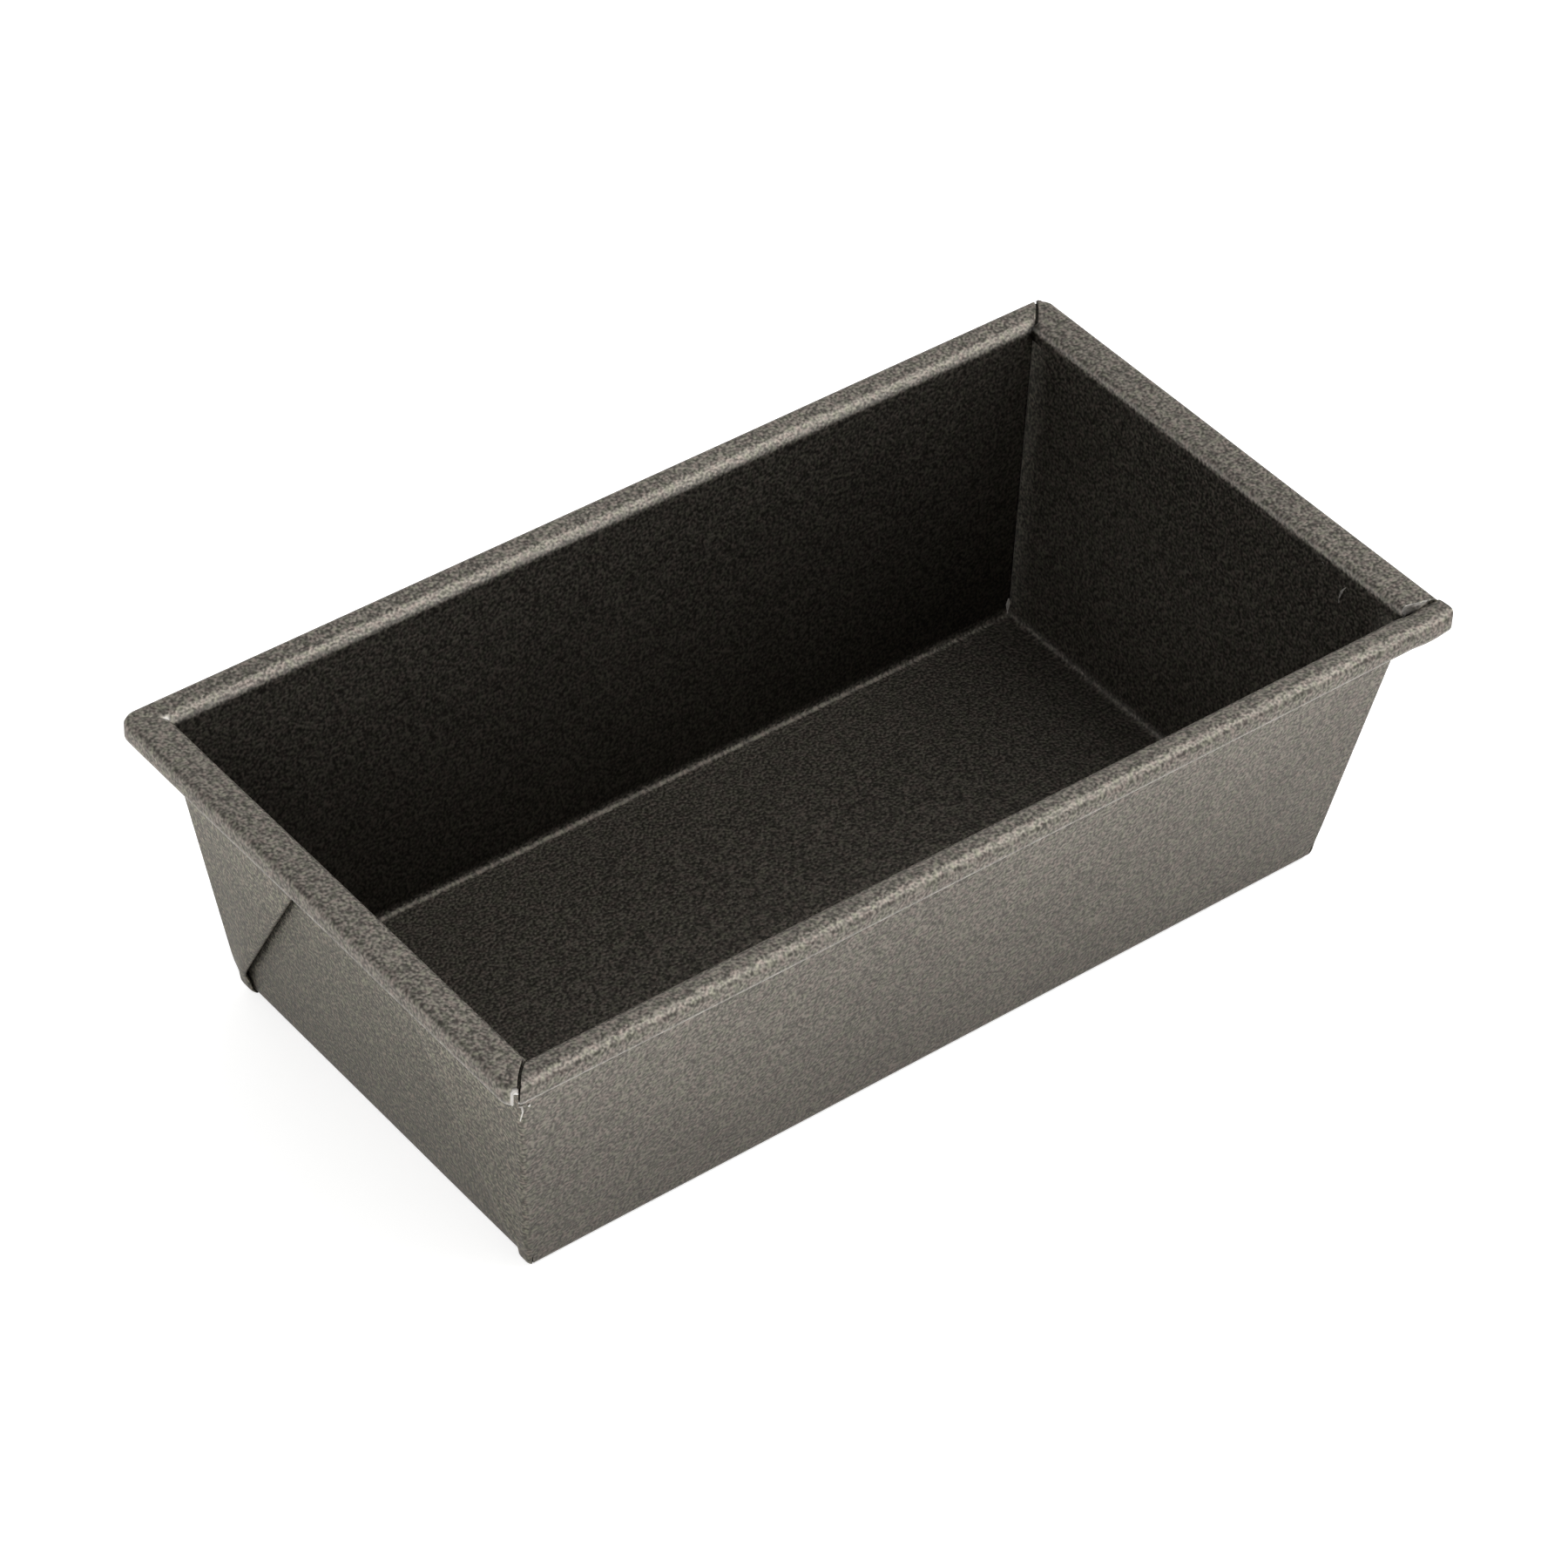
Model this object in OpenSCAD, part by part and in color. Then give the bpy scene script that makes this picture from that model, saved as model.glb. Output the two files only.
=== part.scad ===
// Loaf pan folded from one coated steel sheet, with a wired rolled rim.
// Millimetres. +X runs along the pan and +Z is up. The origin is the centre of
// the base's underside. Each node below is one zone of the folded blank, cut
// where the sheet is flat, and the wire hoop that the rim is rolled around.

/* [Opening] */
// Length of the opening between the inner faces of the end walls
open_l = 210; // [190:1:260]
// Width of the opening between the inner faces of the long walls
open_w = 112; // [100:1:140]
// Height of the rim's inner edge above the underside
rim_z = 65.6; // [50:0.2:90]
// How far every wall leans in between the rim and the base
taper = 9.6; // [6:0.2:14]

/* [Sheet] */
// Thickness of the coated sheet
sheet = 0.7; // [0.5:0.1:0.9]
// Inner radius of the bends between the base and the walls
base_bend_r = 1.4; // [1:0.1:2.5]

/* [Rim of the long walls] */
// Width from the inner face of the wall to the rim's outer face
long_rim_w = 6.5; // [6.2:0.1:8]
// Radius over the rim's inner edge
long_inner_r = 2.3; // [1.5:0.1:2.6]
// Radius over the rim's outer edge
long_outer_r = 1.6; // [1.2:0.1:1.8]
// Slope of the rim's top, rising outwards, in degrees
long_lift = 5; // [0:0.5:8]

/* [Rim of the end walls] */
// Width from the inner face of the wall to the rim's outer face
end_rim_w = 8.2; // [7.5:0.1:10]
// Radius over the rim's inner edge
end_inner_r = 2; // [1.5:0.1:2.6]
// Radius over the rim's outer edge
end_outer_r = 1.2; // [1:0.1:1.6]
// Slope of the rim's top, rising outwards, in degrees
end_lift = 3.7; // [0:0.1:6]

/* [Rim, all round] */
// How far the rim's outer face hangs below the inner edge
rim_drop = 3.6; // [3.2:0.1:5]
// Width of the mitre slit at each corner of the rim
slit_w = 0.5; // [0.2:0.1:1]
// Diameter of the wire in the rim
wire_d = 2.4; // [2:0.1:2.6]
// Radius of the wire's corners, on its centre line
wire_bend_r = 3; // [2.5:0.5:6]

/* [Corner folds] */
// Space between the two leaves of a fold
leaf_gap = 0.1; // [0.05:0.05:0.3]
// How far below the rim's inner edge a fold ends, inside the rolled rim
fold_top_drop = 2.6; // [2.4:0.1:3.2]
// Height of the tip of a fold above the underside
fold_tip_z = 1.2; // [0.8:0.1:2]

/* [Hidden] */
$fn = 64;

half_l = open_l / 2;
half_w = open_w / 2;
base_half_l = half_l - taper;
base_half_w = half_w - taper;
// Lean of the walls from upright, and their length up the slope
lean = atan(taper / (rim_z - sheet));
slope_len = norm([taper, rim_z - sheet]);
// Flat strip of wall that the base and the rim each carry past their bends
strip = 1.5;
// Three thicknesses lie at the ends of the pan: the wall and both fold leaves
fold_t = 2 * sheet + leaf_gap;
end_stack = (sheet + fold_t) / cos(lean);
// A fold halves the blank's corner, which leaves this lean for its free edge
side_lean = atan(taper / slope_len);
free_edge_lean = (90 - 2 * side_lean) / 2 - side_lean;
// Height up the slope at which the folds end
fold_len = slope_len - fold_top_drop;
wire_r = wire_d / 2;
wire_clear = 0.1;
// Larger than any cross-section, for cutting shapes
reach = 3 * (end_rim_w + rim_z);
// Straights run this far into the bends beside them, so that they join
lap = 0.01;
coating = [0.40, 0.38, 0.35];
fold_tone = [0.46, 0.46, 0.42];
rim_tone = [0.50, 0.47, 0.44];

// Length that a bend of radius r through angle a takes from each straight
function tangent_len(r, a) = r * tan(abs(a) / 2);

// Steps of a side's cross-section along the cavity face, from the middle of the
// base out to the rim's lower edge: [straight length, turn after it, radius]
function side_steps(half_base, rim_w, inner_r, outer_r, lift) =
    let (
        wall_turn = 90 - lean,
        top_turn = -(90 - lean - lift),
        edge_turn = -(90 + lift),
        base_cut = tangent_len(base_bend_r, wall_turn),
        inner_cut = tangent_len(inner_r, top_turn),
        outer_cut = tangent_len(outer_r, edge_turn),
        wall_run = slope_len - base_cut - inner_cut - 2 * strip,
        top_run = rim_w / cos(lift) - inner_cut - outer_cut,
        face_run = rim_drop + rim_w * tan(lift) - outer_cut
    ) [
        [half_base - base_cut, wall_turn, base_bend_r],
        [strip, 0, 0],
        [wall_run, 0, 0],
        [strip, top_turn, inner_r],
        [top_run, edge_turn, outer_r],
        [face_run, 0, 0]
    ];

long_steps = side_steps(base_half_w, long_rim_w, long_inner_r, long_outer_r, long_lift);
end_steps = side_steps(base_half_l, end_rim_w, end_inner_r, end_outer_r, end_lift);
// Steps that belong to the base, to a wall and to a rim: [first, last]
BASE_ZONE = [0, 1];
WALL_ZONE = [2, 2];
RIM_ZONE = [3, 5];

// Quarter-like arc of sheet that turns by a, starting at the origin along +X
module sheet_bend(a, r) {
    side = sign(a);
    from = -90 * side;
    translate([0, r * side])
        intersection() {
            difference() {
                circle(side > 0 ? r + sheet : r);
                circle(side > 0 ? r : r - sheet);
            }
            polygon([
                [0, 0],
                [2 * reach * cos(from), 2 * reach * sin(from)],
                [2 * reach * cos(from + a / 2), 2 * reach * sin(from + a / 2)],
                [2 * reach * cos(from + a), 2 * reach * sin(from + a)]
            ]);
        }
}

// Cross-section of the sheet along steps, of which only those in zone are drawn
module sheet_section(steps, zone, i = 0) {
    run = steps[i][0];
    turn = steps[i][1];
    centre = steps[i][2] * sign(turn);
    if (i >= zone[0]) {
        lap_in = i > zone[0] ? lap : 0;
        lap_out = turn != 0 ? lap : 0;
        translate([-lap_in, -sheet]) square([run + lap_in + lap_out, sheet]);
        if (turn != 0)
            translate([run, 0]) sheet_bend(turn, steps[i][2]);
    }
    if (i < zone[1])
        translate([run, centre])
            rotate(turn)
                translate([0, -centre])
                    sheet_section(steps, zone, i + 1);
}

// A side's zone, bent along +Y and running along X
module side_strip(steps, zone) {
    rotate([90, 0, 90])
        linear_extrude(open_l + 2 * reach, center = true)
            translate([0, sheet])
                sheet_section(steps, zone);
}

// Upright prism between the mitres of the side that faces +Y, for a pan whose
// opening is 2a by 2b with rims ra wide at the ends and rb wide on that side
module mitre_prism(a, b, ra, rb) {
    far_a = a + reach * ra;
    far_b = b + reach * rb;
    linear_extrude(2 * reach, center = true)
        polygon(
            a > b
                ? [[b - a, 0], [a - b, 0], [a, b], [far_a, far_b], [-far_a, far_b], [-a, b]]
                : [[0, b - a], [a, b], [far_a, far_b], [-far_a, far_b], [-a, b]]
        );
}

// Everything between two planes that lean out with the walls, whose inner edges
// are 2 * half_base apart at the level of the base's upper face, along Y
module between_walls(half_base) {
    low = half_base - reach * tan(lean);
    high = half_base + reach * tan(lean);
    rotate([90, 0, 90])
        linear_extrude(open_l + 2 * reach, center = true)
            translate([0, sheet])
                polygon([[-low, -reach], [low, -reach], [high, reach], [-high, reach]]);
}

module long_side(zone) {
    intersection() {
        side_strip(long_steps, zone);
        mitre_prism(half_l, half_w, end_rim_w, long_rim_w);
    }
}

// The side that faces +X
module end_side(zone) {
    rotate(-90)
        intersection() {
            side_strip(end_steps, zone);
            mitre_prism(half_w, half_l, long_rim_w, end_rim_w);
        }
}

module base_panel() {
    color(coating) {
        for (a = [0, 180]) rotate(a) long_side(BASE_ZONE);
        for (a = [0, 180]) rotate(a) end_side(BASE_ZONE);
    }
}

// The long walls cover the edges of the end walls and of the folds
module long_wall() {
    color(coating)
        intersection() {
            side_strip(long_steps, WALL_ZONE);
            rotate(90) between_walls(base_half_l + end_stack);
        }
}

// The wall at the +X end
module end_wall() {
    color(coating)
        intersection() {
            rotate(-90) side_strip(end_steps, WALL_ZONE);
            between_walls(base_half_w);
        }
}

// One leaf of the fold at the +X, +Y corner, standing off the wall's inner face
module fold_leaf(off) {
    corner_y = base_half_w;
    rise = tan(free_edge_lean);
    translate([off, 0, 0])
        rotate([90, 0, 90])
            linear_extrude(sheet)
                polygon([
                    [corner_y, 0],
                    [corner_y + fold_len, fold_len],
                    [corner_y - fold_len * rise, fold_len]
                ]);
}

// The blank's corner at the +X, +Y corner: two leaves joined by a rolled edge
module corner_fold() {
    edge_r = fold_t / 2;
    edge_off = sheet + edge_r;
    color(fold_tone)
        intersection() {
            translate([base_half_l, 0, sheet])
                rotate([0, lean, 0]) {
                    fold_leaf(sheet);
                    fold_leaf(sheet + sheet + leaf_gap);
                    intersection() {
                        translate([edge_off, base_half_w, 0])
                            rotate([free_edge_lean, 0, 0])
                                difference() {
                                    cylinder(h = 2 * fold_len, r = edge_r);
                                    cylinder(h = 2 * fold_len, r = leaf_gap / 2);
                                }
                        translate([0, -open_w, 0])
                            cube([2 * fold_t, 2 * open_w, fold_len]);
                    }
                }
            between_walls(base_half_w);
            translate([0, 0, fold_tip_z])
                cube([open_l, open_w, rim_z]);
        }
}

// Slits along the mitres of the rim
module mitre_slits() {
    angle = atan2(long_rim_w, end_rim_w);
    for (mx = [0, 1], my = [0, 1])
        mirror([mx, 0, 0])
            mirror([0, my, 0])
                translate([half_l, half_w, 0])
                    rotate(angle)
                        translate([0, -slit_w / 2, 0])
                            cube([3 * end_rim_w, slit_w, 2 * rim_z]);
}

module long_rim() {
    color(rim_tone)
        difference() {
            long_side(RIM_ZONE);
            mitre_slits();
        }
}

module end_rim() {
    color(rim_tone)
        difference() {
            end_side(RIM_ZONE);
            mitre_slits();
        }
}

// Wire hoop that lies in the outer corner of the rolled rim
module rim_wire() {
    in_rim = sheet + wire_r + wire_clear;
    path_l = half_l + end_rim_w - in_rim;
    path_w = half_w + long_rim_w - in_rim;
    run_l = path_l - wire_bend_r;
    run_w = path_w - wire_bend_r;
    wire_z = rim_z + (long_rim_w - 2 * in_rim) * tan(end_lift) - in_rim;
    color("silver")
        translate([0, 0, wire_z]) {
            for (s = [-1, 1]) {
                translate([-run_l, s * path_w, 0])
                    rotate([0, 90, 0]) cylinder(h = 2 * run_l, r = wire_r);
                translate([s * path_l, run_w, 0])
                    rotate([90, 0, 0]) cylinder(h = 2 * run_w, r = wire_r);
            }
            for (mx = [0, 1], my = [0, 1])
                mirror([mx, 0, 0])
                    mirror([0, my, 0])
                        translate([run_l, run_w, 0])
                            rotate_extrude(angle = 90)
                                translate([wire_bend_r, 0]) circle(wire_r);
        }
}

module front_wall() { rotate(180) long_wall(); }
module back_wall() { long_wall(); }
module left_end_wall() { rotate(180) end_wall(); }
module right_end_wall() { end_wall(); }
module front_left_fold() { rotate(180) corner_fold(); }
module front_right_fold() { mirror([0, 1, 0]) corner_fold(); }
module back_left_fold() { mirror([1, 0, 0]) corner_fold(); }
module back_right_fold() { corner_fold(); }
module front_rim() { rotate(180) long_rim(); }
module back_rim() { long_rim(); }
module left_rim() { rotate(180) end_rim(); }
module right_rim() { end_rim(); }

base_panel();
front_wall();
back_wall();
left_end_wall();
right_end_wall();
front_left_fold();
front_right_fold();
back_left_fold();
back_right_fold();
front_rim();
back_rim();
left_rim();
right_rim();
rim_wire();
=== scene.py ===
import math

import bmesh
import bpy
import numpy as np
from mathutils import Matrix, Vector, noise


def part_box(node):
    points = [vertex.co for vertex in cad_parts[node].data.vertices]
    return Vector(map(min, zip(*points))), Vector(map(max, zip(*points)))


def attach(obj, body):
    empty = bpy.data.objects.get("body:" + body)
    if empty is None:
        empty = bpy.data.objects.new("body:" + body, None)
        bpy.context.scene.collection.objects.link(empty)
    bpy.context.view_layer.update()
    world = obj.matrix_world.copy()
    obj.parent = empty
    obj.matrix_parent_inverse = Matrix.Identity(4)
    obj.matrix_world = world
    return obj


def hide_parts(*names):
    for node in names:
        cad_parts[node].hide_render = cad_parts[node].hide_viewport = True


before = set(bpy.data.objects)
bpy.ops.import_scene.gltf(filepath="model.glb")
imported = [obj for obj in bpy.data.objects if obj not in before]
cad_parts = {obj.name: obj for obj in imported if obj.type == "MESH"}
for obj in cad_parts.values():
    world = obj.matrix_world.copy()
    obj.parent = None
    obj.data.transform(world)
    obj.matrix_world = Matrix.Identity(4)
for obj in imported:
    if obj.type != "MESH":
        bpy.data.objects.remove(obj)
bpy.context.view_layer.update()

MM = 0.001

# ---------------------------------------------------------------- sizes, mm
SHEET = 0.7
TAPER = 9.6
RIM_Z = 65.6
RIM_DROP = 3.6
BASE_BEND_R = 1.4
STRIP = 1.5
WIRE_R = 1.2
ARC_STEP = math.radians(6)


class Side:
    """Cross-section of a long side or an end, from the middle of the base out to the rim's lower edge."""

    def __init__(self, half_open, rim_w, inner_r, lift_deg):
        self.half_open = half_open
        self.half_base = half_open - TAPER
        self.rim_w = rim_w
        self.inner_r = inner_r
        self.lift = math.radians(lift_deg)


def box_mm(node):
    low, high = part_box(node)
    return np.array(low) / MM, np.array(high) / MM


END_RIM_W = 8.2
LONG_RIM_W = 6.5
OUT_L = box_mm("right_rim")[1][0]
OUT_W = box_mm("back_rim")[1][1]
END = Side(OUT_L - END_RIM_W, END_RIM_W, 2.0, 3.7)
LONG = Side(OUT_W - LONG_RIM_W, LONG_RIM_W, 2.7, 5.0)
LEAN = math.atan(TAPER / (RIM_Z - SHEET))
TAN, SIN, COS = math.tan(LEAN), math.sin(LEAN), math.cos(LEAN)
SLOPE = math.hypot(TAPER, RIM_Z - SHEET)


def tangent(r, a):
    return r * math.tan(abs(a) / 2)


BASE_CUT = tangent(BASE_BEND_R, math.pi / 2 - LEAN)


def smooth(x, a=0.0, b=1.0):
    """0 below a, 1 above b, and a smooth step between."""
    t = np.clip((np.asarray(x, float) - a) / (b - a), 0, 1)
    return t * t * (3 - 2 * t)


# ------------------------------------------------------- sheet cross-section
class Walk:
    """Follows the cavity face of the sheet and keeps each station as (u, z, heading)."""

    def __init__(self, u, z, heading):
        self.u, self.z, self.h = u, z, heading
        self.rows = [(u, z, heading)]

    def straight(self, length, steps):
        for _ in range(steps):
            self.u += math.cos(self.h) * length / steps
            self.z += math.sin(self.h) * length / steps
            self.rows.append((self.u, self.z, self.h))

    def bend(self, angle, r):
        side = math.copysign(1, angle)
        cu, cz = self.u - math.sin(self.h) * r * side, self.z + math.cos(self.h) * r * side
        steps = max(8, round(abs(angle) / ARC_STEP))
        for _ in range(steps):
            self.h += angle / steps
            self.u = cu + math.sin(self.h) * r * side
            self.z = cz - math.cos(self.h) * r * side
            self.rows.append((self.u, self.z, self.h))

    def faces(self):
        """(cavity face, back face) as arrays of (u, z)."""
        r = np.array(self.rows)
        cavity = r[:, :2]
        back = cavity + SHEET * np.stack([np.sin(r[:, 2]), -np.cos(r[:, 2])], 1)
        return cavity, back


def base_rows(side):
    w = Walk(side.half_base - BASE_CUT, SHEET, 0.0)
    w.bend(math.pi / 2 - LEAN, BASE_BEND_R)
    w.straight(STRIP, 2)
    return w.faces()


def top_turn(side):
    return -(math.pi / 2 - LEAN - side.lift)


def wall_top(side):
    return SLOPE - tangent(side.inner_r, top_turn(side)) - STRIP


def wall_point(side, t):
    return side.half_base + t * SIN, SHEET + t * COS


def wall_rows(side, steps):
    t0 = BASE_CUT + STRIP
    u, z = wall_point(side, t0)
    w = Walk(u, z, math.pi / 2 - LEAN)
    w.straight(wall_top(side) - t0, steps)
    return w.faces()


def rim_rows(side, shoulder_r, shoulder_deg, outer_r):
    """Rim section, with the cut lower edge rounded over, and how bare each row is: worn at the cut edge, and
    a painted highlight along the inner bend.
    """
    inner_cut = tangent(side.inner_r, top_turn(side))
    u, z = wall_point(side, wall_top(side))
    w = Walk(u, z, math.pi / 2 - LEAN)
    w.straight(STRIP, 2)
    w.bend(top_turn(side), side.inner_r)
    shoulder = math.radians(shoulder_deg)
    round_w = shoulder_r * (math.sin(side.lift) + math.sin(shoulder)) + outer_r * (1 - math.sin(shoulder))
    w.straight((side.rim_w - round_w) / math.cos(side.lift) - inner_cut, 3)
    w.bend(-(side.lift + shoulder), shoulder_r)
    w.bend(-(math.pi / 2 - shoulder), outer_r)
    edge_r = SHEET / 2
    w.straight(w.z - (RIM_Z - RIM_DROP) - edge_r, 4)
    cavity, back = w.faces()
    wear_and_highlight = [0.0] * len(cavity)
    mid, across = (cavity[-1] + back[-1]) / 2, (cavity[-1] - back[-1]) / 2
    along = np.array([math.cos(w.h), math.sin(w.h)])
    for deg in (25, 50, 70, 84):
        a = math.radians(deg)
        tip = mid + along * edge_r * math.sin(a)
        cavity = np.vstack([cavity, tip + across * math.cos(a)])
        back = np.vstack([back, tip - across * math.cos(a)])
        wear_and_highlight.append(0.7)
    wear_and_highlight[-5] = 0.3
    # painted highlight: a light bare-steel tone along the inner bend
    wear_and_highlight[4:9] = [0.05, 0.08, 0.10, 0.08, 0.05]
    return cavity, back, np.array(wear_and_highlight)


# ------------------------------------------------------------ hand-made look
def wave(p, size, seed):
    """Smooth noise from 0 to 1 over lengths of about size mm."""
    n = noise.noise(Vector((p[0] / size + seed * 7.3, p[1] / size - seed * 3.1, p[2] / size + seed)))
    return 0.5 + 0.5 * n


# Lean of the base towards -x and -y, in mm. It brings the outline nearer to the photo's: it isn't a feature
# of the pan, and the CAD doesn't have it.
BASE_LEAN = (0.5, 0.6)
WAVES = (0.0014, 0.0024, 0.0022)
CROWN = 0.25


def shape(points):
    """The slight waves of folded sheet, inside the CAD box, with the base crowned and leaned."""
    out = np.array(points, float)
    flat = out.reshape(-1, 3)
    for p in flat:
        a, b, c = wave(p, 38, 1), wave(p, 38, 2), wave(p, 45, 3)
        x, y, z = p
        x, y = x - BASE_LEAN[0] * (1 - z / RIM_Z), y - BASE_LEAN[1] * (1 - z / RIM_Z)
        crown = CROWN * float(smooth(1 - abs(x) / 95) * smooth(1 - abs(y) / 46)) * (z < 1.5)
        p[0] = x * (1 - WAVES[0] * a)
        p[1] = y * (1 - WAVES[1] * b)
        p[2] = z * (1 - WAVES[2] * c) + crown
    return out


CORNERS = {
    # (sx, sy): size of the rim's outer corner in plan, and 2 for a round one or near 1 for a straight cut
    (-1, -1): (3.2, 2.0),
    (1, -1): (2.0, 2.0),
    (1, 1): (2.7, 1.15),
    (-1, 1): (3.8, 2.0),
}


def trim_corners(points):
    out = np.array(points, float)
    for p in out.reshape(-1, 3):
        r, power = CORNERS[(1 if p[0] > 0 else -1, 1 if p[1] > 0 else -1)]
        qx, qy = (r - OUT_L + abs(p[0])) / r, (r - OUT_W + abs(p[1])) / r
        if qx > 0 and qy > 0:
            k = max(qx, qy) / (qx ** power + qy ** power) ** (1 / power)
            p[0] = math.copysign(OUT_L - r + r * qx * k, p[0])
            p[1] = math.copysign(OUT_W - r + r * qy * k, p[1])
    return out


# ------------------------------------------------------------------- meshes
def shell(a, b):
    """Closed sheet between two grids of points: (vertices, faces). Vertex index of a is r * cols + c."""
    rows, cols = a.shape[:2]
    n = rows * cols
    verts = np.vstack([a.reshape(-1, 3), b.reshape(-1, 3)])
    faces = []
    for r in range(rows - 1):
        for c in range(cols - 1):
            i = r * cols + c
            quad = (i, i + 1, i + cols + 1, i + cols)
            faces.append(quad)
            faces.append(tuple(n + k for k in reversed(quad)))
    ring = [c for c in range(cols)]
    ring += [r * cols + cols - 1 for r in range(1, rows)]
    ring += [(rows - 1) * cols + c for c in range(cols - 2, -1, -1)]
    ring += [r * cols for r in range(rows - 2, 0, -1)]
    for k, i in enumerate(ring):
        j = ring[(k + 1) % len(ring)]
        faces.append((j, i, n + i, n + j))
    return verts, faces


def sliver(path, out, width):
    """Closed ribbon along the points, thin, tapered to both ends and standing a little off the sheet."""
    out = Vector(out).normalized()
    path = [Vector(p) for p in path]
    verts, faces = [], []
    for k, p in enumerate(path):
        along = (path[min(k + 1, len(path) - 1)] - path[max(k - 1, 0)]).normalized()
        side = along.cross(out).normalized() * width / 2
        if len(path) > 2 and k in (0, len(path) - 1):
            side = side * 0.3
        verts += [p - side, p + out * 0.12, p + side, p - out * 0.10]
    for k in range(len(path) - 1):
        for c in range(4):
            i, j = 4 * k + c, 4 * k + (c + 1) % 4
            faces.append((i, j, j + 4, i + 4))
    last = len(verts) - 4
    faces += [(0, 1, 2, 3), (last + 3, last + 2, last + 1, last)]
    return np.array([tuple(v) for v in verts]), faces


def add_sliver(verts, faces, marks, path, out, width):
    """Appends a sliver to a piece: its last mark is set to 1 on the sliver and the others to 0."""
    more, sides = sliver(path, out, width)
    faces = faces + [tuple(len(verts) + k for k in f) for f in sides]
    marks = [np.r_[m, np.full(len(more), float(m is marks[-1]))] for m in marks]
    return np.vstack([verts, more]), faces, marks


def add_piece(name, node, verts, faces, material, marks, sharp_deg=40):
    """Makes the piece from points in mm. marks are {attribute: value per vertex}."""
    mesh = bpy.data.meshes.new(name)
    mesh.from_pydata([tuple(v * MM) for v in verts], [], faces)
    for key, values in marks.items():
        attribute = mesh.attributes.new(key, "FLOAT", "POINT")
        attribute.data.foreach_set("value", np.asarray(values, np.float32))
    bm = bmesh.new()
    bm.from_mesh(mesh)
    bmesh.ops.recalc_face_normals(bm, faces=bm.faces)
    bm.to_mesh(mesh)
    bm.free()
    mesh.polygons.foreach_set("use_smooth", [True] * len(mesh.polygons))
    mesh.set_sharp_from_angle(angle=math.radians(sharp_deg))
    mesh.materials.append(material)
    piece = bpy.data.objects.new(name, mesh)
    bpy.context.scene.collection.objects.link(piece)
    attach(piece, "root")
    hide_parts(node)
    return piece


NEAR = np.array([0, 0.1, 0.2, 0.32, 0.46, 0.62, 0.9, 1.4, 2.1, 3.0, 4.2, 5.8, 7.8])


def columns(inner, low, high):
    """Stations from one end to the other: the same in all rows up to inner mm, then by the row."""
    middle = np.linspace(-inner, inner, max(3, round(2 * inner / 3.0)))
    low, high = np.asarray(low, float)[:, None], np.asarray(high, float)[:, None]
    fade = np.linspace(0, 1, 5)[1:-1]
    left = np.hstack([-low + NEAR, -low + NEAR[-1] + fade * (low - NEAR[-1] - inner)])
    right = np.hstack([high - NEAR, high - NEAR[-1] - fade * (high - NEAR[-1] - inner)])
    return np.hstack([left, np.repeat(middle[None, :], len(low), 0), right[:, ::-1]])


def lay(side, along, uz):
    """Points of the side that faces +Y or +X, from its columns along the edge and its (u, z) rows."""
    u = np.repeat(uz[:, :1], along.shape[1], 1)
    z = np.repeat(uz[:, 1:], along.shape[1], 1)
    if side is LONG:
        return np.stack([along, u, z], 2)
    return np.stack([u, along, z], 2)


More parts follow.
